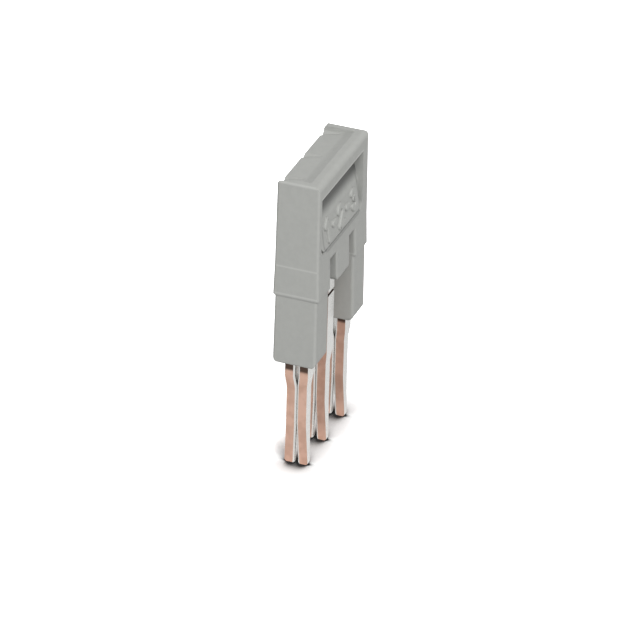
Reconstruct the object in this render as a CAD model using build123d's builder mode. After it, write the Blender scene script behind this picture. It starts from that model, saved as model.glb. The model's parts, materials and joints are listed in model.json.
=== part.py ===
"""Three-pole plug-in jumper for a row of terminal blocks.

A moulded housing holds two stamped contact combs, back to back. The jumper is
pushed down into the row with its legs, and pulled out by the lip at its top.

X runs along the poles, the finger grip faces -Y and the legs stand on Z = 0.
All sizes are in millimetres and degrees.
"""
import os
from math import cos, radians, sin, tan

from build123d import *

os.makedirs("parts", exist_ok=True)

# Poles
pole_pitch = 3.5
pole_count = 3

# Housing, stacked upwards from the leg tips
leg_exposed = 8.08
sleeve_length = 5.19
band_height = 2.25
head_height = 6.18

# Housing, plan sizes at the very top, which grow downwards by the draft
end_margin = 1.04
housing_depth = 3.02
draft_angle = 0.5
upright_edge_radius = 0.17
top_front_edge_radius = 0.42
top_back_edge_radius = 0.28
sleeve_edge_radius = 0.5
end_edge_radius = 0.15

# Locking band round the waist
band_flare = 0.05
band_step = 0.14
band_end_step = 0.05
band_shoulder = 0.15

# Sleeves and the slots between them
slot_width = 1.1
slot_below_band_top = 0.05
slot_draft_angle = 1.0
slot_edge_radius = 0.18
middle_sleeve_width = 2.4
middle_sleeve_drop = 0.25
middle_sleeve_corner = 0.5
middle_edge_radius = 0.12

# Top: a shelf lies lower, between two end plates and the bar along the front
end_plate_width = 0.55
shelf_foot_drop = 0.25
shelf_back_drop = 0.35
shelf_front = 0.05
shelf_step_run = 0.65
shelf_foot_radius = 1.0
shelf_edge_radius = 0.15

# Saw-tooth marks in the shelf, which run out towards the front
pole_mark_offset = 0.5
pole_mark_rise = 0.2
pole_mark_floor = 0.13
pole_mark_length = 1.55
pole_mark_depth = 0.25
pole_mark_slant = 13.5

# Finger grip under the lip, off the middle of the row, and the number field in it
lip_height = 1.07
lip_undercut = 0.9
grip_bar_height = 0.9
grip_left_wall = 0.44
grip_right_wall = 1.02
grip_corner = 0.6
grip_wall = 0.44
field_foot_gap = 0.12
field_side_gap = 0.3
field_setback = 0.06
field_corner = 0.5

# Contact combs
sheet_thickness = 0.72
strip_height = 2.1
strip_floor = 0.45
strip_corner = 0.25
leg_width = 1.12
blade_width = 0.82
leg_tip_width = 0.42
shoulder_height = 6.9
shoulder_drop = 1.0
taper_height = 3.4
shoulder_radius = 0.8
tip_corner = 0.1
tip_bevel = 0.16

# How the sheets part and close on their way down
joggle = 0.1
joggle_below_strip = 0.3
joggle_length = 0.8
pinch_top = 6.1
pinch_length = 3.0
pinch_run_in = 0.8
tip_splay = 0.12
bend_radius = 1.5
sheared_edge_rollover = 0.17

# Nick across the middle leg
nick_below_sleeve = 1.45
nick_width = 0.24
nick_depth = 0.18

# Moulded pocket for the combs
comb_clearance = 0.04

# Heights
sleeve_bottom = leg_exposed
band_bottom = sleeve_bottom + sleeve_length
band_top = band_bottom + band_height
housing_top = band_top + head_height
shelf_foot = housing_top - shelf_foot_drop
shelf_back = housing_top - shelf_back_drop
slot_top = band_top - slot_below_band_top
middle_sleeve_bottom = band_bottom - middle_sleeve_drop
grip_bottom = slot_top + grip_bar_height
grip_top = housing_top - lip_height
strip_bottom = slot_top + strip_floor
strip_top = strip_bottom + strip_height

# Plan places
half_row = pole_pitch * (pole_count - 1) / 2
half_length = half_row + end_margin
half_depth = housing_depth / 2
pole_places = [pole_pitch * index - half_row for index in range(pole_count)]
inner_poles = pole_places[1:-1]
plate_face = half_length - end_plate_width
grip_middle = (grip_left_wall - grip_right_wall) / 2
grip_half_width = half_length - (grip_left_wall + grip_right_wall) / 2
end_sleeve_wall = half_row - pole_pitch + middle_sleeve_width / 2 + slot_width
outside = half_length + housing_depth

pocket_half_depth = sheet_thickness + comb_clearance
channel_half_depth = pocket_half_depth + max(joggle, tip_splay)
channel_width = leg_width + 2 * comb_clearance


def draft_growth(height):
    """How far a drafted wall has moved out at this height, seen from the top."""
    return (housing_top - height) * tan(radians(draft_angle))


def slot_growth(height):
    """How far each wall of a slot has moved out at this height."""
    return (slot_top - height) * tan(radians(slot_draft_angle))


def wall_outline(half_size, flare, step):
    """One side of a drafted wall with the band, from the top to the bottom."""
    at_band_top = half_size + draft_growth(band_top)
    at_band_bottom = half_size + draft_growth(band_bottom) + flare
    return [
        (half_size, housing_top),
        (at_band_top, band_top),
        (at_band_bottom, band_bottom),
        (at_band_bottom - step, band_bottom - band_shoulder),
        (at_band_bottom - step + draft_growth(sleeve_bottom) - draft_growth(band_bottom), sleeve_bottom),
    ]


def mirrored(points):
    """The points, then their mirror images in reverse, as one closed outline."""
    return points + [(-across, up) for across, up in reversed(points)]


def on_outer_face(edge):
    """Whether an edge lies on the front or the back of the housing."""
    return abs(edge.center().Y) > half_depth - top_front_edge_radius


def on_end_sleeve(edge):
    """Whether an edge of a slot runs down an end sleeve."""
    return end_sleeve_wall < abs(edge.center().X) < end_sleeve_wall + slot_growth(0)


def on_middle_band(edge):
    """Whether an edge of a slot runs up beside a middle sleeve, above its round corners."""
    across = min((abs(edge.center().X - place) for place in inner_poles), default=0)
    beside = middle_sleeve_width / 4 < across < middle_sleeve_width / 2
    return beside and middle_sleeve_bottom + middle_sleeve_corner < edge.center().Z < slot_top


def on_inner_face(edge):
    """Whether an edge of the front comb lies on the side that meets the other comb."""
    return edge.center().Y > -sheet_thickness / 2


# The space under the lip that fingers or pliers reach into. Its back slopes
# outwards and then drops straight, in front of the combs.
lip_root = lip_undercut - half_depth - draft_growth(grip_top)
grip_back = -(pocket_half_depth + grip_wall)
grip_bend = strip_top + grip_wall
field_face = field_setback - half_depth - draft_growth(grip_bottom)

with BuildPart() as grip_space:
    with BuildSketch(Plane.YZ.offset(grip_middle)):
        with BuildLine():
            Polyline(
                (lip_root, grip_top),
                (grip_back, grip_bend),
                (grip_back, grip_bottom),
                (-outside, grip_bottom),
                (-outside, grip_top),
                close=True,
            )
        make_face()
    extrude(amount=grip_half_width, both=True)
    fillet(grip_space.edges().filter_by(Axis.Y).group_by(Axis.Z)[0], grip_corner)

# The number field leans out from the bend of the grip, with a gap at its sides
# and under its foot.
with BuildPart() as number_field:
    with BuildSketch(Plane.YZ.offset(grip_middle)):
        with BuildLine():
            Polyline(
                (0, grip_bend),
                (grip_back, grip_bend),
                (field_face, grip_bottom + field_foot_gap),
                (0, grip_bottom + field_foot_gap),
                close=True,
            )
        make_face()
    extrude(amount=grip_half_width - field_side_gap, both=True)
    fillet(number_field.edges().filter_by(Axis.Y).group_by(Axis.Z)[0], field_corner)

# A middle sleeve as it is seen from the front, centred on its pole.
with BuildSketch() as middle_sleeve:
    top_half = middle_sleeve_width / 2
    bottom_half = top_half - slot_growth(middle_sleeve_bottom)
    with BuildLine():
        Polyline(
            (top_half, slot_top),
            (bottom_half, middle_sleeve_bottom),
            (-bottom_half, middle_sleeve_bottom),
            (-top_half, slot_top),
            close=True,
        )
    make_face()
    fillet(middle_sleeve.vertices().group_by(Axis.Y)[0], middle_sleeve_corner)

# The housing is a loft through rounded plan sections, crossed with its side
# section and its front view, which round the long and the short edges.
depth_outline = wall_outline(half_depth, band_flare, band_step)
length_outline = wall_outline(half_length, 0, band_end_step)

with BuildPart() as housing:
    for (half_x, height), (half_y, _) in zip(length_outline, depth_outline):
        with BuildSketch(Plane.XY.offset(height)):
            RectangleRounded(2 * half_x, 2 * half_y, upright_edge_radius)
    loft(ruled=True)
    with BuildSketch(Plane.YZ) as side_section:
        with BuildLine():
            Polyline(*mirrored(depth_outline), close=True)
        make_face()
        fillet(side_section.vertices().group_by(Axis.Y)[0], sleeve_edge_radius)
        fillet(side_section.vertices().group_by(Axis.Y)[-1].sort_by(Axis.X)[0], top_front_edge_radius)
        fillet(side_section.vertices().group_by(Axis.Y)[-1].sort_by(Axis.X)[-1], top_back_edge_radius)
    extrude(amount=outside, both=True, mode=Mode.INTERSECT)
    with BuildSketch(Plane.XZ) as front_view:
        with BuildLine():
            Polyline(*mirrored(length_outline), close=True)
        make_face()
        fillet(front_view.vertices().group_by(Axis.Y)[-1], end_edge_radius)
        fillet(front_view.vertices().group_by(Axis.Y)[0], end_edge_radius)
    extrude(amount=outside, both=True, mode=Mode.INTERSECT)

    # Behind the bar the top slopes down to the shelf, which is rounded over at the back.
    with BuildSketch(Plane.YZ) as shelf_cut:
        with BuildLine():
            Polyline(
                (-shelf_front, shelf_foot),
                (half_depth + draft_growth(shelf_back), shelf_back),
                (half_depth + draft_growth(grip_top), grip_top),
                (outside, grip_top),
                (outside, housing_top + shelf_foot_drop),
                (-shelf_front - 2 * shelf_step_run, housing_top + shelf_foot_drop),
                close=True,
            )
        make_face()
        fillet(shelf_cut.vertices().filter_by_position(Axis.Y, shelf_foot, shelf_foot), shelf_foot_radius)
        fillet(shelf_cut.vertices().filter_by_position(Axis.Y, shelf_back, shelf_back), shelf_edge_radius)
    extrude(amount=plate_face, both=True, mode=Mode.SUBTRACT)

    # One saw-tooth mark for each pole, deepest at the back edge of the shelf.
    with BuildSketch(Plane.XZ.offset(-half_depth)):
        for place in pole_places:
            crest = place + pole_mark_offset
            foot = crest - pole_mark_rise
            with BuildLine():
                Polyline(
                    (crest, housing_top + shelf_back_drop),
                    (crest, shelf_back),
                    (foot, shelf_back - pole_mark_depth),
                    (foot - pole_mark_floor, shelf_back - pole_mark_depth),
                    (crest - pole_mark_length, housing_top),
                    (crest - pole_mark_length, housing_top + shelf_back_drop),
                    close=True,
                )
            make_face()
    extrude(
        amount=half_depth / cos(radians(pole_mark_slant)),
        dir=(0, -cos(radians(pole_mark_slant)), sin(radians(pole_mark_slant))),
        both=True,
        mode=Mode.SUBTRACT,
    )

    add(grip_space.part, mode=Mode.SUBTRACT)
    add(number_field.part)

    # Slots part the sleeves, and the middle sleeves end higher up.
    with BuildSketch(Plane.XZ):
        with BuildLine():
            Polyline(
                (end_sleeve_wall, slot_top),
                (end_sleeve_wall + slot_growth(0), 0),
                (-end_sleeve_wall - slot_growth(0), 0),
                (-end_sleeve_wall, slot_top),
                close=True,
            )
        make_face()
        for place in inner_poles:
            with Locations((place, 0)):
                add(middle_sleeve.sketch, mode=Mode.SUBTRACT)
    extrude(amount=outside, both=True, mode=Mode.SUBTRACT)
    fillet(housing.edges(Select.LAST).filter_by(on_outer_face).filter_by(on_end_sleeve), slot_edge_radius)
    band_edges = housing.edges().filter_by(on_outer_face).filter_by(on_middle_band)
    if band_edges:
        fillet(band_edges, middle_edge_radius)

    # The pocket that the two combs fill.
    with BuildSketch(Plane.XZ):
        with Locations((0, (strip_bottom - comb_clearance + strip_top) / 2)):
            Rectangle(2 * half_row + channel_width, strip_height + comb_clearance)
    extrude(amount=pocket_half_depth, both=True, mode=Mode.SUBTRACT)
    with BuildSketch(Plane.XZ):
        for place in pole_places:
            with Locations((place, strip_bottom / 2)):
                Rectangle(channel_width, strip_bottom)
    extrude(amount=channel_half_depth, both=True, mode=Mode.SUBTRACT)

housing.part.label = "housing"
export_step(housing.part, "parts/housing.step")


# A comb is its blank, seen from the front, crossed with its bent section.
with BuildPart() as front_contact_comb:
    with BuildSketch(Plane.XZ) as blank:
        with Locations((0, (strip_bottom + strip_top) / 2)):
            Rectangle(2 * half_row + leg_width, strip_height)
        for place in pole_places:
            side = [
                (leg_width / 2, strip_bottom),
                (leg_width / 2, shoulder_height),
                (blade_width / 2, shoulder_height - shoulder_drop),
                (blade_width / 2, taper_height),
                (leg_tip_width / 2, 0),
            ]
            with BuildLine():
                Polyline(*[(place + across, up) for across, up in mirrored(side)], close=True)
            make_face()
        shoulders = blank.vertices().filter_by_position(Axis.Y, taper_height, shoulder_height)
        fillet(shoulders, shoulder_radius)
        fillet(blank.vertices().group_by(Axis.Y)[0], tip_corner)
        fillet(blank.vertices().group_by(Axis.Y)[-1], strip_corner)
    extrude(amount=outside)

    with BuildSketch(Plane.YZ) as bent_section:
        joggle_top = strip_bottom - joggle_below_strip
        pinch_bottom = pinch_top - pinch_length
        inner_side = [
            (0, strip_top),
            (0, joggle_top),
            (-joggle, joggle_top - joggle_length),
            (-joggle, pinch_top + pinch_run_in),
            (0, pinch_top),
            (0, pinch_bottom),
            (-tip_splay, 0),
        ]
        outer_side = [(across - sheet_thickness, up) for across, up in inner_side]
        with BuildLine():
            Polyline(*inner_side, *reversed(outer_side), close=True)
        make_face()
        bends = bent_section.vertices().filter_by_position(Axis.Y, pinch_bottom, joggle_top)
        fillet(bends, bend_radius)
        chamfer(bent_section.vertices().group_by(Axis.Y)[0].sort_by(Axis.X)[0], tip_bevel)
    extrude(amount=outside, both=True, mode=Mode.INTERSECT)

    # Stamping rolls over the edges on the side where the punch goes in.
    sheared_faces = front_contact_comb.faces().filter_by(lambda face: abs(face.normal_at().Y) < 0.1)
    fillet(sheared_faces.edges().filter_by(on_inner_face), sheared_edge_rollover)

    # The nick where a middle leg can be broken off.
    for place in inner_poles:
        with BuildSketch(Plane.YZ.offset(place)):
            with Locations((-joggle - sheet_thickness, middle_sleeve_bottom - nick_below_sleeve)):
                Rectangle(2 * nick_depth, nick_width)
        extrude(amount=leg_width, both=True, mode=Mode.SUBTRACT)

with BuildPart() as rear_contact_comb:
    mirror(front_contact_comb.part, about=Plane.XZ)

front_contact_comb.part.label = "front_contact_comb"
rear_contact_comb.part.label = "rear_contact_comb"
export_step(front_contact_comb.part, "parts/front_contact_comb.step")
export_step(rear_contact_comb.part, "parts/rear_contact_comb.step")
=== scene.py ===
"""The looks of a three-pole plug-in terminal jumper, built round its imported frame.

The housing and the two contact combs are the frame's own solids and only get
their finishes here. The raised position numerals in the finger grip are made
here, and so are the floor, the light and the camera. Lengths are in metres,
and heights are measured from the plane that the leg tips stand on.
"""

import json
import logging
import math
from dataclasses import dataclass
from enum import Enum, IntEnum
from typing import Any, Optional, Sequence, Union

import bpy
import numpy as np
from mathutils import Matrix, Vector
from mathutils.bvhtree import BVHTree

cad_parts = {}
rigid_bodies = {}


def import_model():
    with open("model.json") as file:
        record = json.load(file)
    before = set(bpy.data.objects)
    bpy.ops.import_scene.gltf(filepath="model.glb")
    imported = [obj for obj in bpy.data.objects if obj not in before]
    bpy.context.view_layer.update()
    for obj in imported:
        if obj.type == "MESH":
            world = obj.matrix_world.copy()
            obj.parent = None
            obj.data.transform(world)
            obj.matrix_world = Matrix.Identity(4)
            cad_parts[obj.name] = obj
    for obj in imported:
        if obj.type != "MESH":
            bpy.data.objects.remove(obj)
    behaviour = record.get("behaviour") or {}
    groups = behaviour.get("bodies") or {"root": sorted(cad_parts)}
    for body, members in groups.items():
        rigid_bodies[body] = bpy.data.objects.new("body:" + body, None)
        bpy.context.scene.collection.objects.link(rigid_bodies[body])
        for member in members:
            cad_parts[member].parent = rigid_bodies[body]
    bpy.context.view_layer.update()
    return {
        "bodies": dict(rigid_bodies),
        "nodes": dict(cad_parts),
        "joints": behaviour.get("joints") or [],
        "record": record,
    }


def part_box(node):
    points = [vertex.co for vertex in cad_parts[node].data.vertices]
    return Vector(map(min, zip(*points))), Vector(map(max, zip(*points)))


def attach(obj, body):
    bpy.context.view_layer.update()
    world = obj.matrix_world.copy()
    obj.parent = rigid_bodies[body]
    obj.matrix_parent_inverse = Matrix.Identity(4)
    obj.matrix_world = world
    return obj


LOG = logging.getLogger("terminal_jumper")
MM = 0.001

Colour = tuple[float, float, float]
Point = tuple[float, float, float]
Span = tuple[float, float]
Number = Union[float, int]

WHITE: Colour = (1.0, 1.0, 1.0)
MEAN_NOISE = 0.5
STRAIGHT = 1e-6


class NodeName(Enum):
    """The frame's nodes."""

    HOUSING = "housing"
    FRONT_COMB = "front_contact_comb"
    REAR_COMB = "rear_contact_comb"


class SlotName(Enum):
    """The material slots of the record."""

    PLASTIC = "moulded_plastic"
    TINNED_COPPER = "tinned_copper"


class MixSocket(IntEnum):
    """Where a colour Mix node has its sockets, which share their names with hidden ones."""

    FACTOR = 0
    FIRST = 6
    SECOND = 7
    RESULT = 2


class Shade:
    """A socket of a shader, which Python arithmetic turns into Math nodes."""

    def __init__(self, recipe: "Recipe", socket: bpy.types.NodeSocket) -> None:
        """Wraps one output socket.

        Args:
            recipe: The recipe that the socket belongs to.
            socket: The output socket.
        """
        self.recipe = recipe
        self.socket = socket

    def _math(self, operation: str, *values: Union["Shade", Number]) -> "Shade":
        """A Math node on these values, in this order."""
        return self.recipe.node("ShaderNodeMath", {"operation": operation}, dict(enumerate(values)))

    def __add__(self, other: Union["Shade", Number]) -> "Shade":
        """The sum."""
        return self._math("ADD", self, other)

    def __radd__(self, other: Number) -> "Shade":
        """The sum with a number first."""
        return self._math("ADD", other, self)

    def __sub__(self, other: Union["Shade", Number]) -> "Shade":
        """The difference."""
        return self._math("SUBTRACT", self, other)

    def __rsub__(self, other: Number) -> "Shade":
        """The difference with a number first."""
        return self._math("SUBTRACT", other, self)

    def __mul__(self, other: Union["Shade", Number]) -> "Shade":
        """The product."""
        return self._math("MULTIPLY", self, other)

    def __rmul__(self, other: Number) -> "Shade":
        """The product with a number first."""
        return self._math("MULTIPLY", other, self)

    def __abs__(self) -> "Shade":
        """The size without its sign."""
        return self._math("ABSOLUTE", self)

    def power(self, exponent: Number) -> "Shade":
        """The value to a power."""
        return self._math("POWER", self, exponent)

    def smaller(self, other: Union["Shade", Number]) -> "Shade":
        """The smaller of the two values."""
        return self._math("MINIMUM", self, other)

    def larger(self, other: Union["Shade", Number]) -> "Shade":
        """The larger of the two values."""
        return self._math("MAXIMUM", self, other)

    def rise(self, start: Number, end: Number) -> "Shade":
        """A ramp from 0 at start to 1 at end, held outside them and eased at both.

        Args:
            start: Where the value is 0.
            end: Where the value is 1.

        Returns:
            The ramp.
        """
        return self.recipe.node(
            "ShaderNodeMapRange",
            {"interpolation_type": "SMOOTHSTEP"},
            {"Value": self, "From Min": start, "From Max": end},
        )


Value = Union[Shade, Number, Sequence[float]]
Settings = Optional[dict[str, Any]]
Inputs = Optional[dict[Union[str, int], Value]]


class Recipe:
    """The node tree of one material or of the world."""

    def __init__(self, tree: bpy.types.NodeTree) -> None:
        """Starts from an empty tree.

        Args:
            tree: The node tree to fill.
        """
        self.tree = tree
        self.tree.nodes.clear()

    def _add(self, kind: str, settings: Settings, inputs: Inputs) -> bpy.types.Node:
        """Adds one node, of whichever type.

        Args:
            kind: The node's type.
            settings: Its properties.
            inputs: Values or links of its sockets.

        Returns:
            The node.
        """
        made = self.tree.nodes.new(kind)
        for name, setting in (settings or {}).items():
            setattr(made, name, setting)
        for name, value in (inputs or {}).items():
            if isinstance(value, Shade):
                self.tree.links.new(value.socket, made.inputs[name])
            else:
                made.inputs[name].default_value = value
        return made

    def node(
        self, kind: str, settings: Settings = None, inputs: Inputs = None, output: Union[str, int] = 0
    ) -> Shade:
        """Adds one node and gives one of its outputs.

        Args:
            kind: The node's type.
            settings: Its properties.
            inputs: Values or links of its sockets.
            output: The output that is wanted.

        Returns:
            That output.
        """
        return Shade(self, self._add(kind, settings, inputs).outputs[output])

    def place(self) -> Shade:
        """The point on the object, in its own metres."""
        return self.node("ShaderNodeTexCoord", output="Object")

    def normal(self) -> Shade:
        """The direction that the surface faces, in the object's own axes."""
        return self.node("ShaderNodeTexCoord", output="Normal")

    def axis(self, vector: Shade, name: str) -> Shade:
        """One of X, Y and Z of a vector."""
        return self.node("ShaderNodeSeparateXYZ", inputs={0: vector}, output=name)

    def stretched(self, vector: Shade, scale: Sequence[float]) -> Shade:
        """A vector with its axes scaled.

        Args:
            vector: The vector.
            scale: The factor along each axis.

        Returns:
            The scaled vector.
        """
        return self.node("ShaderNodeVectorMath", {"operation": "MULTIPLY"}, {0: vector, 1: scale})

    def noise(self, vector: Shade, size: float, detail: float = 2.0, roughness: float = 0.5) -> Shade:
        """Noise from 0 to 1, whose blotches are about this size.

        Args:
            vector: The place that it is read at.
            size: The size of its blotches, in metres.
            detail: How many finer layers it has.
            roughness: How strong the finer layers are.

        Returns:
            The noise.
        """
        return self.node(
            "ShaderNodeTexNoise",
            {"noise_dimensions": "3D"},
            {"Vector": vector, "Scale": 1.0 / size, "Detail": detail, "Roughness": roughness},
        )

    def blend(self, factor: Shade, first: Union[Shade, Colour], second: Union[Shade, Colour]) -> Shade:
        """The first colour where factor is 0 and the second where it is 1.

        Args:
            factor: The share of the second colour.
            first: The first colour.
            second: The second colour.

        Returns:
            The blended colour.
        """
        inputs: dict[int, Value] = {MixSocket.FACTOR: factor}
        for socket, colour in ((MixSocket.FIRST, first), (MixSocket.SECOND, second)):
            inputs[socket] = colour if isinstance(colour, Shade) else (*colour, 1.0)
        return self.node("ShaderNodeMix", {"data_type": "RGBA"}, inputs, MixSocket.RESULT)

    def bump(self, height: Shade, distance: float) -> Shade:
        """The surface normal over a relief.

        Args:
            height: The relief from 0 to 1.
            distance: How high 1 stands, in metres.

        Returns:
            The normal.
        """
        return self.node("ShaderNodeBump", inputs={"Height": height, "Distance": distance, "Strength": 1.0})

    def finish_surface(self, shader: Shade) -> None:
        """Leads a shader to the material's output."""
        self._add("ShaderNodeOutputMaterial", None, {"Surface": shader})

    def finish_world(self, shader: Shade) -> None:
        """Leads a shader to the world's output."""
        self._add("ShaderNodeOutputWorld", None, {"Surface": shader})


def seen_directly(recipe: Recipe) -> Shade:
    """1 for rays from the camera, off gloss and through glass, and 0 for the light that falls on things.

    Args:
        recipe: The recipe that the value is for.

    Returns:
        The value.
    """
    camera = recipe.node("ShaderNodeLightPath", output="Is Camera Ray")
    glossy = Shade(recipe, camera.socket.node.outputs["Is Glossy Ray"])
    clear = Shade(recipe, camera.socket.node.outputs["Is Transmission Ray"])
    return camera.larger(glossy).larger(clear)


def tinted(colour: Colour, level: float) -> Colour:
    """A colour times a level."""
    return tuple(channel * level for channel in colour)


def new_material(name: str) -> tuple[bpy.types.Material, Recipe]:
    """An empty node material and its recipe.

    Args:
        name: The material's name.

    Returns:
        The material and the recipe.
    """
    material = bpy.data.materials.new(name)
    material.use_nodes = True
    return material, Recipe(material.node_tree)


@dataclass(frozen=True)
class MouldedPlastic:
    """Grey plastic from a spark-eroded mould: matt, very finely grained and faintly mottled.

    Close under the grip's lip and on a seam round the number field the
    colour is darker, a painted shade, and on fine lines across the end faces at
    the band's edges and on the lip's lower edge it is lighter, a painted
    highlight. These places follow the housing's own heights and depths.
    """

    name: str = "moulded_grey_plastic"
    colour: Colour = (0.372, 0.378, 0.360)
    refraction: float = 1.5
    roughness: float = 0.6
    roughness_spread: float = 0.12
    mottle: float = 0.022
    mottle_size: float = 0.4 * MM
    mottle_range: Span = (0.3, 0.7)
    grain_size: float = 0.07 * MM
    grain_depth: float = 0.010 * MM
    grain_detail: float = 3.0
    grain_roughness: float = 0.6
    end_facing: Span = (0.9, 0.97)
    # The next four values set a painted highlight: fine lighter lines across the end faces at the band's
    # foot and top edges.
    band_highlight_low: float = 13.4 * MM
    band_highlight_high: float = 15.45 * MM
    band_highlight_width: float = 0.11 * MM
    band_highlight_level: float = 1.2
    front_limit: Span = (-0.1 * MM, 0.0)
    grip_middle: float = -0.29 * MM
    grip_sides: Span = (3.85 * MM, 3.9 * MM)
    lip_height: float = 20.63 * MM
    lip_fade: float = 0.1 * MM
    # The next five values set the painted shade close under the grip's lip, which the side walls get less
    # of; its heights and depths also bound the painted seam shade and lip highlight.
    lip_shade: float = 0.25
    shade_heights: Span = (18.55 * MM, 19.45 * MM)
    shade_depths: Span = (-1.4 * MM, -1.05 * MM)
    wall_facing: Span = (0.5, 0.9)
    wall_light: float = 0.8
    # The next three values set a painted highlight along the lip's lower front edge.
    lip_highlight_width: float = 0.15 * MM
    lip_highlight_start: float = -0.02 * MM
    lip_highlight_level: float = 1.3
    # The next seven values set a painted shade along a seam round the number field, a rounded rectangle
    # seen from the front.
    seam_across: float = -0.06 * MM
    seam_up: float = 18.05 * MM
    seam_half_width: float = 3.3 * MM
    seam_half_height: float = 1.76 * MM
    seam_corner: float = 0.6 * MM
    seam_width: float = 0.17 * MM
    seam_shade: float = 0.7

    def _within_grip(self, recipe: Recipe, place: Shade) -> Shade:
        """1 between the grip's side walls."""
        aside = abs(recipe.axis(place, "X") - self.grip_middle)
        return 1 - aside.rise(*self.grip_sides)

    def _front_half(self, recipe: Recipe, place: Shade) -> Shade:
        """1 on the front half of the housing."""
        return 1 - recipe.axis(place, "Y").rise(*self.front_limit)

    def _painted_band_highlights(self, recipe: Recipe, place: Shade) -> Shade:
        """1 on a painted highlight: fine lines across the end faces, at the foot and the top of the band.

        Args:
            recipe: The material's recipe.
            place: The point on the object.

        Returns:
            The lines.
        """
        on_end = abs(recipe.axis(recipe.normal(), "X")).rise(*self.end_facing)
        height = recipe.axis(place, "Z")
        away = abs(height - self.band_highlight_low).smaller(abs(height - self.band_highlight_high))
        return (1 - away.rise(0.0, self.band_highlight_width)) * on_end

    def _painted_lip_shade(self, recipe: Recipe, place: Shade) -> Shade:
        """How much painted shade a point gets in the grip's hollow, from 0 in the open to 1 close under the
        lip.

        Args:
            recipe: The material's recipe.
            place: The point on the object.

        Returns:
            The share, which the hollow's side walls get less of.
        """
        height = recipe.axis(place, "Z")
        deep = recipe.axis(place, "Y").rise(*self.shade_depths)
        near_lip = height.rise(*self.shade_heights)
        below = 1 - height.rise(self.lip_height, self.lip_height + self.lip_fade)
        side_wall = abs(recipe.axis(recipe.normal(), "X")).rise(*self.wall_facing)
        inside = self._within_grip(recipe, place) * self._front_half(recipe, place)
        return deep * near_lip * below * inside * (1 - side_wall * self.wall_light)

    def _painted_seam_shade(self, recipe: Recipe, place: Shade) -> Shade:
        """1 on a painted shade along a seam round the number field.

        The seam is where the signed distance to a rounded rectangle, seen from
        the front, is near 0: the distance to the rectangle shrunk by its corner
        radius, less that radius.

        Args:
            recipe: The material's recipe.
            place: The point on the object.

        Returns:
            The seam.
        """
        height = recipe.axis(place, "Z")
        across = abs(recipe.axis(place, "X") - self.seam_across) - (self.seam_half_width - self.seam_corner)
        upward = abs(height - self.seam_up) - (self.seam_half_height - self.seam_corner)
        outside = (across.larger(0.0).power(2) + upward.larger(0.0).power(2)).power(0.5)
        edge = outside + across.larger(upward).smaller(0.0) - self.seam_corner
        low = 1 - height.rise(*self.shade_heights)
        return (1 - abs(edge).rise(0.0, self.seam_width)) * low * self._front_half(recipe, place)

    def _painted_lip_highlight(self, recipe: Recipe, place: Shade) -> Shade:
        """1 on a painted highlight along the lip's lower front edge.

        Args:
            recipe: The material's recipe.
            place: The point on the object.

        Returns:
            The painted highlight.
        """
        above = recipe.axis(place, "Z") - self.lip_height
        band = above.rise(self.lip_highlight_start, 0.0) * (1 - above.rise(self.lip_highlight_width / 2, self.lip_highlight_width))
        face = 1 - recipe.axis(place, "Y").rise(*self.shade_depths)
        return band * face * self._within_grip(recipe, place)

    def make(self) -> bpy.types.Material:
        """Builds the material."""
        material, recipe = new_material(self.name)
        place = recipe.place()
        grain = recipe.noise(place, self.grain_size, self.grain_detail, self.grain_roughness)
        mottle = recipe.noise(place, self.mottle_size)
        base = recipe.blend(
            mottle.rise(*self.mottle_range),
            tinted(self.colour, 1 - self.mottle),
            tinted(self.colour, 1 + self.mottle),
        )
        # Painted highlights on the band's edges and the lip's lower edge, and painted shade on the seam
        # round the number field and under the lip.
        for share, level in (
            (self._painted_band_highlights(recipe, place), self.band_highlight_level),
            (self._painted_lip_highlight(recipe, place), self.lip_highlight_level),
            (self._painted_seam_shade(recipe, place), self.seam_shade),
            (self._painted_lip_shade(recipe, place), self.lip_shade),
        ):
            base = recipe.blend(share, base, tinted(self.colour, level))
        shader = recipe.node(
            "ShaderNodeBsdfPrincipled",
            inputs={
                "Base Color": base,
                "Roughness": self.roughness + (grain - MEAN_NOISE) * self.roughness_spread,
                "IOR": self.refraction,
                "Normal": recipe.bump(grain, self.grain_depth),
            },
        )
        recipe.finish_surface(shader)
        return material


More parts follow.
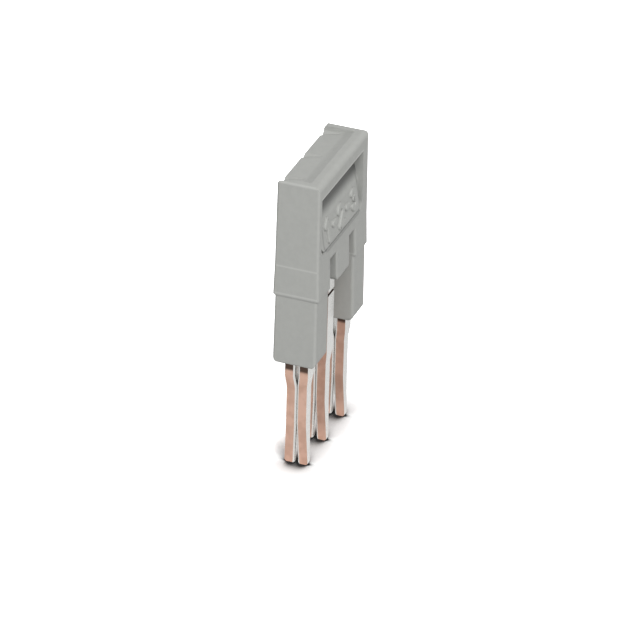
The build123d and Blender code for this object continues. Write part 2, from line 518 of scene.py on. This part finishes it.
@dataclass(frozen=True)
class TinnedCopper:
    """Sheet copper with bright tin on its rolled faces and bare metal on its sheared edges.

    The bare metal gets a painted shade close under the end sleeves and in
    the nick across the middle leg.
    """

    name: str = "tinned_sheet_copper"
    tin: Colour = (0.76, 0.76, 0.74)
    copper: Colour = (0.64, 0.43, 0.34)
    fracture: Colour = (0.55, 0.36, 0.28)
    sheared_facing: Span = (0.12, 0.32)
    tin_roughness: float = 0.28
    copper_roughness: float = 0.5
    blotch_size: float = 0.8 * MM
    blotch_range: Span = (0.35, 0.65)
    blotch_spread: float = 0.12
    drawn_size: float = 0.05 * MM
    drawn_stretch: float = 0.04
    drawn_spread: float = 0.08
    shear_size: float = 0.035 * MM
    shear_stretch: float = 0.08
    shear_spread: float = 0.2
    relief: float = 0.004 * MM
    # The next six values set the painted shade on the bare metal close under the end sleeves and in the
    # nick.
    painted_shade_level: float = 0.16
    sleeve_shade_heights: Span = (7.39 * MM, 7.64 * MM)
    sleeve_shade_slope: float = 0.035
    outer_legs: Span = (2.0 * MM, 2.2 * MM)
    nick_heights: Span = (8.6 * MM, 8.8 * MM)
    nick_facing: Span = (0.3, 0.5)

    def _painted_metal_shade(self, recipe: Recipe, place: Shade, normal: Shade) -> Shade:
        """1 on the painted shade: the outer legs close under their sleeves, and the nick across the middle
        leg.

        The lower end of the sleeves' shade stands a little higher from leg to
        leg along the row.

        Args:
            recipe: The material's recipe.
            place: The point on the object.
            normal: The direction that the surface faces.

        Returns:
            The share.
        """
        across = recipe.axis(place, "X")
        height = recipe.axis(place, "Z") - across * self.sleeve_shade_slope
        under_sleeve = height.rise(*self.sleeve_shade_heights) * abs(across).rise(*self.outer_legs)
        nick = abs(recipe.axis(normal, "Z")).rise(*self.nick_facing) * height.rise(*self.nick_heights)
        return under_sleeve.larger(nick)

    def make(self) -> bpy.types.Material:
        """Builds the material."""
        material, recipe = new_material(self.name)
        place, normal = recipe.place(), recipe.normal()
        sheared = 1 - abs(recipe.axis(normal, "Y")).rise(*self.sheared_facing)
        blotch = recipe.noise(place, self.blotch_size)
        drawn = recipe.noise(recipe.stretched(place, (1, 1, self.drawn_stretch)), self.drawn_size)
        shear = recipe.noise(recipe.stretched(place, (1, self.shear_stretch, 1)), self.shear_size)
        bare = recipe.blend(blotch.rise(*self.blotch_range), self.copper, self.fracture)
        # Painted shade on the bare metal under the sleeves and in the nick.
        bare = recipe.blend(self._painted_metal_shade(recipe, place, normal), bare, tinted(self.fracture, self.painted_shade_level))
        blotchy = (blotch - MEAN_NOISE) * self.blotch_spread
        tin_rough = self.tin_roughness + blotchy + (drawn - MEAN_NOISE) * self.drawn_spread
        bare_rough = self.copper_roughness + (shear - MEAN_NOISE) * self.shear_spread
        shader = recipe.node(
            "ShaderNodeBsdfPrincipled",
            inputs={
                "Base Color": recipe.blend(sheared, self.tin, bare),
                "Metallic": 1.0,
                "Roughness": tin_rough + (bare_rough - tin_rough) * sheared,
                "Normal": recipe.bump(drawn + (shear - drawn) * sheared, self.relief),
            },
        )
        recipe.finish_surface(shader)
        return material


@dataclass(frozen=True)
class StudioWhite:
    """A floor that the camera sees as white, with a painted shadow round what stands on it.

    It has three levels of grey: one for the light that it throws back, one for
    how it mirrors, and one for the camera. Where things stand close over it,
    the camera's level is painted down to nearly black, a painted contact shadow.
    """

    name: str = "studio_white_floor"
    lit: float = 0.45
    mirrored: float = 0.85
    shown: float = 2.4
    contact_shade: float = 0.03
    contact_reach: float = 3.0 * MM
    contact_samples: int = 32
    halo: Span = (0.58, 0.92)
    halo_share: float = 0.42

    def make(self) -> bpy.types.Material:
        """Builds the material."""
        material, recipe = new_material(self.name)
        # The camera's level is a painted contact shadow, darker where ambient occlusion finds things close
        # over the floor.
        open_air = recipe.node(
            "ShaderNodeAmbientOcclusion",
            {"samples": self.contact_samples},
            {"Distance": self.contact_reach},
            output="AO",
        )
        beyond = open_air.rise(self.halo[1], 1.0)
        clear = open_air.rise(*self.halo) * self.halo_share + beyond * (1 - self.halo_share)
        shown = recipe.blend(clear, tinted(WHITE, self.contact_shade), tinted(WHITE, self.shown))
        other = recipe.blend(seen_directly(recipe), tinted(WHITE, self.lit), tinted(WHITE, self.mirrored))
        camera = recipe.node("ShaderNodeLightPath", output="Is Camera Ray")
        base = recipe.blend(camera, other, shown)
        recipe.finish_surface(recipe.node("ShaderNodeBsdfDiffuse", inputs={"Color": base}))
        return material


def direction(azimuth: float, elevation: float) -> Vector:
    """A unit vector.

    Args:
        azimuth: Its angle from +X towards +Y, in degrees.
        elevation: Its angle above the floor, in degrees.

    Returns:
        The vector.
    """
    across, above = math.radians(azimuth), math.radians(elevation)
    level = math.cos(above)
    return Vector((level * math.cos(across), level * math.sin(across), math.sin(above)))


def solid_piece(name: str, vertices: np.ndarray, faces: np.ndarray) -> bpy.types.Object:
    """An object at the origin made from arrays of points and four-sided faces.

    Args:
        name: The piece's name.
        vertices: Points, one a row, in metres.
        faces: Corner numbers, four a row.

    Returns:
        The object, linked to the scene.
    """
    mesh = bpy.data.meshes.new(name)
    mesh.from_pydata(vertices.tolist(), [], faces.tolist())
    mesh.validate()
    mesh.update()
    piece = bpy.data.objects.new(name, mesh)
    bpy.context.scene.collection.objects.link(piece)
    return piece


@dataclass(frozen=True)
class Stroke:
    """One raised stroke of a numeral: a straight line or a round arc on the field, with round ends.

    Places are shares of the numeral's height, from its foot at the middle.
    """

    start: tuple[float, float]
    end: tuple[float, float]
    turn: float = 0.0

    def points(self, count: int) -> tuple[np.ndarray, np.ndarray]:
        """The centre line and its directions.

        An arc that turns by an angle leaves its chord by half the turn at each
        end, and is as much longer than its chord as half the turn is larger
        than its sine.

        Args:
            count: How many points the line has.

        Returns:
            The points, and the unit directions along the line.
        """
        chord = np.subtract(self.end, self.start)
        middle = math.atan2(chord[1], chord[0])
        turn = math.radians(self.turn)
        share = np.linspace(0.0, 1.0, count)
        heading = middle + turn * (share - 0.5)
        bend = np.sinc(turn / (2 * math.pi))
        length = np.hypot(*chord) / bend
        half = turn / 2
        if abs(turn) < STRAIGHT:
            line = np.asarray(self.start) + share[:, None] * chord
        else:
            radius = length / turn
            x = radius * (np.sin(heading) - math.sin(middle - half))
            y = -radius * (np.cos(heading) - math.cos(middle - half))
            line = np.asarray(self.start) + np.column_stack([x, y])
        return line, np.column_stack([np.cos(heading), np.sin(heading)])


NUMERALS: dict[str, tuple[Stroke, ...]] = {
    "1": (Stroke((0.06, 0.0), (0.06, 1.0)), Stroke((-0.18, 0.74), (0.06, 1.0))),
    "2": (
        Stroke((-0.26, 0.72), (0.16, 0.46), -222.0),
        Stroke((0.16, 0.46), (-0.26, 0.0)),
        Stroke((-0.26, 0.0), (0.28, 0.0)),
    ),
    "3": (
        Stroke((-0.24, 0.82), (-0.04, 0.54), -230.0),
        Stroke((-0.04, 0.54), (-0.27, 0.2), -235.0),
    ),
    "-": (Stroke((-0.13, 0.5), (0.13, 0.5)),),
}


@dataclass(frozen=True)
class NumberField:
    """The leaning face in the finger grip with its raised position numerals.

    The face is found between two shares of the housing's height.
    """

    name: str = "position_numerals"
    text: str = "1-2-3"
    face_low: float = 0.66
    face_high: float = 0.72
    height: float = 1.45 * MM
    spacing: float = 1.22 * MM
    middle: float = -0.1 * MM
    raised: float = 0.12 * MM
    stroke_width: float = 0.46 * MM
    relief: float = 0.15 * MM
    sink: float = 0.03 * MM
    skirt: float = 1.05
    rim: float = 0.25
    crown: float = 0.62
    peak: float = 1.02
    line_points: int = 24
    end_points: int = 10
    crown_points: int = 6

    def face_frame(self, housing: bpy.types.Object) -> Matrix:
        """The field's own frame: X along the row, Y up the face and Z out of it.

        Two rays from the front find the leaning face below and above its middle.

        Args:
            housing: The housing's node.

        Returns:
            The matrix that takes field coordinates to the row frame.
        """
        graph = bpy.context.evaluated_depsgraph_get()
        tree = BVHTree.FromObject(housing, graph)
        low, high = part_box(NodeName.HOUSING.value)
        span = high.z - low.z
        ahead = Vector((0.0, low.y - span, 0.0))
        heights = (low.z + self.face_low * span, low.z + self.face_high * span)
        inward = Vector((0.0, 1.0, 0.0))
        foot, head = (tree.ray_cast(ahead + Vector((0, 0, z)), inward)[0] for z in heights)
        up = (head - foot).normalized()
        along = Vector((1.0, 0.0, 0.0))
        out = along.cross(up)
        turned = Matrix((along, up, out)).transposed().to_4x4()
        return Matrix.Translation((foot + head) / 2) @ turned

    def _ridge(self, stroke: Stroke, centre: float) -> tuple[np.ndarray, np.ndarray]:
        """One closed ridge.

        A loop runs round the stroke at one distance from its centre line: down
        one side, half a turn round the end, and back. Rings of such loops go
        from the centre line along the sunk underside to the rim, up the flank
        and over the rounded crown to the centre line again.

        Args:
            stroke: The stroke.
            centre: Where its numeral's middle is along the row.

        Returns:
            Points in field coordinates and four-sided faces.
        """
        line, heading = stroke.points(self.line_points)
        angle = np.arctan2(heading[:, 1], heading[:, 0])
        cap = np.linspace(0.0, math.pi, self.end_points + 2)[1:-1]
        side = math.pi / 2
        turns = np.concatenate(
            [angle - side, angle[-1] - side + cap, angle[::-1] + side, angle[0] + side + cap]
        )
        spots = np.concatenate(
            [line, np.repeat(line[-1:], len(cap), 0), line[::-1], np.repeat(line[:1], len(cap), 0)]
        )
        around = np.column_stack([np.cos(turns), np.sin(turns)])
        crown = np.linspace(0.0, math.pi / 2, self.crown_points)
        flank = 1 - (1 - self.crown) * (1 - np.cos(crown))
        reach = np.concatenate([[0.0, self.skirt, self.skirt], flank, [0.0]])
        swell = self.relief * (self.rim + (1 - self.rim) * np.sin(crown))
        rise = np.concatenate([[-self.sink, -self.sink, 0.0], swell, [self.relief * self.peak]])
        half = self.stroke_width / 2
        flat = spots[None] * self.height + around[None] * (half * reach[:, None, None])
        flat[..., 0] += centre
        flat[..., 1] += self.raised - self.height / 2
        up = np.broadcast_to(rise[:, None, None], flat.shape[:2] + (1,))
        points = np.concatenate([flat, up], axis=2).reshape(-1, 3)
        rings, loop = len(reach), len(spots)
        ring, step = np.meshgrid(np.arange(rings - 1), np.arange(loop), indexing="ij")
        after = (step + 1) % loop
        this, above = ring * loop, (ring + 1) * loop
        corners = (this + step, this + after, above + after, above + step)
        return points, np.stack(corners, axis=-1).reshape(-1, 4)

    def build(self, housing: bpy.types.Object) -> bpy.types.Object:
        """Makes the numerals as one piece on the leaning face.

        Args:
            housing: The housing's node.

        Returns:
            The piece.
        """
        points: list[np.ndarray] = []
        faces: list[np.ndarray] = []
        first = self.middle - self.spacing * (len(self.text) - 1) / 2
        count = 0
        for index, sign in enumerate(self.text):
            for stroke in NUMERALS[sign]:
                ridge, quads = self._ridge(stroke, first + index * self.spacing)
                points.append(ridge)
                faces.append(quads + count)
                count += len(ridge)
        matrix = np.array(self.face_frame(housing))
        placed = np.concatenate(points) @ matrix[:3, :3].T + matrix[:3, 3]
        return solid_piece(self.name, placed, np.concatenate(faces))


@dataclass
class Jumper:
    """The whole jumper: its three carried-over nodes and the numerals."""

    frame: dict[str, Any]
    plastic: MouldedPlastic = MouldedPlastic()
    metal: TinnedCopper = TinnedCopper()
    numbers: NumberField = NumberField()

    def _dress(self, node: NodeName, material: bpy.types.Material) -> None:
        """Gives a node one finish."""
        thing = self.frame["nodes"][node.value]
        thing.data.materials.clear()
        thing.data.materials.append(material)
        LOG.info("dressed %s with %s", node.value, material.name)

    def build(self) -> None:
        """Dresses the nodes and adds the numerals."""
        plastic = self.plastic.make()
        metal = self.metal.make()
        self._dress(NodeName.HOUSING, plastic)
        self._dress(NodeName.FRONT_COMB, metal)
        self._dress(NodeName.REAR_COMB, metal)
        numerals = self.numbers.build(self.frame["nodes"][NodeName.HOUSING.value])
        numerals.data.materials.append(plastic)
        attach(numerals, "root")
        LOG.info("made %s with %d faces", numerals.name, len(numerals.data.polygons))


@dataclass(frozen=True)
class Softbox:
    """Where a square soft lamp stands round the jumper, and how strongly it lights.

    The azimuth is in degrees from +X and the elevation in degrees from the
    floor. A face that looks straight at a lamp gets level times its own colour.
    """

    name: str
    azimuth: float
    elevation: float
    level: float


@dataclass
class Studio:
    """The floor, the light and the camera."""

    floor_reach: float = 0.6
    world_fill: float = 0.4
    background: float = 1.0
    lamp_size: float = 0.18
    lamp_distance: float = 0.34
    lamps: tuple[Softbox, ...] = (
        Softbox("key_softbox", 226.0, 48.0, 0.80),
        Softbox("end_softbox", 180.0, 25.0, 0.20),
    )
    aim: Point = (-0.67 * MM, -0.32 * MM, 9.62 * MM)
    azimuth: float = 20.24
    elevation: float = 29.68
    roll: float = 1.61
    distance: float = 322.6 * MM
    lens: float = 271.04
    sensor_width: float = 36.0
    clip_factor: float = 10.0

    def make_floor(self) -> None:
        """A wide flat floor under the leg tips."""
        corners = np.array([(-1, -1, 0), (1, -1, 0), (1, 1, 0), (-1, 1, 0)]) * self.floor_reach
        floor = solid_piece("studio_floor", corners, np.array([[0, 1, 2, 3]]))
        floor.data.materials.append(StudioWhite().make())

    def make_world(self) -> None:
        """An even white room, which also is the background."""
        world = bpy.data.worlds.new("studio_room")
        bpy.context.scene.world = world
        world.use_nodes = True
        recipe = Recipe(world.node_tree)
        strength = self.world_fill + (self.background - self.world_fill) * seen_directly(recipe)
        inputs = {"Color": (*WHITE, 1.0), "Strength": strength}
        shader = recipe.node("ShaderNodeBackground", inputs=inputs)
        recipe.finish_world(shader)

    def make_softbox(self, softbox: Softbox) -> None:
        """One lamp that faces the middle of the jumper.

        Its power is the level times the square of pi times its distance.

        Args:
            softbox: Where it stands and how strongly it lights.
        """
        out = direction(softbox.azimuth, softbox.elevation)
        data = bpy.data.lights.new(softbox.name, "AREA")
        data.shape = "SQUARE"
        data.size = self.lamp_size
        data.energy = softbox.level * (math.pi * self.lamp_distance) ** 2
        lamp = bpy.data.objects.new(softbox.name, data)
        bpy.context.scene.collection.objects.link(lamp)
        lamp.location = Vector(self.aim) + out * self.lamp_distance
        lamp.rotation_mode = "QUATERNION"
        lamp.rotation_quaternion = (-out).to_track_quat("-Z", "Y")

    def make_camera(self) -> None:
        """A long lens that looks down on the jumper's near end, tilted as the photograph is."""
        look = direction(self.azimuth, -self.elevation)
        across = math.radians(self.azimuth)
        right = Vector((math.sin(across), -math.cos(across), 0.0))
        up = right.cross(look)
        roll = math.radians(self.roll)
        tilted_right = right * math.cos(roll) + up * math.sin(roll)
        tilted_up = up * math.cos(roll) - right * math.sin(roll)
        data = bpy.data.cameras.new("camera")
        data.lens = self.lens
        data.sensor_width = self.sensor_width
        data.clip_start = self.distance / self.clip_factor
        data.clip_end = self.distance * self.clip_factor
        camera = bpy.data.objects.new("camera", data)
        turned = Matrix((tilted_right, tilted_up, -look)).transposed().to_4x4()
        camera.matrix_world = Matrix.Translation(Vector(self.aim) - look * self.distance) @ turned
        bpy.context.scene.collection.objects.link(camera)
        bpy.context.scene.camera = camera

    def build(self) -> None:
        """Makes everything round the jumper."""
        self.make_camera()
        self.make_floor()
        self.make_world()
        for softbox in self.lamps:
            self.make_softbox(softbox)
        bpy.context.scene.view_settings.view_transform = "Standard"
        LOG.info("studio is ready")


def main() -> None:
    """Builds the jumper and the studio."""
    logging.basicConfig(level=logging.INFO)
    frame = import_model()
    Studio().build()
    Jumper(frame).build()


if __name__ == "__main__":
    main()
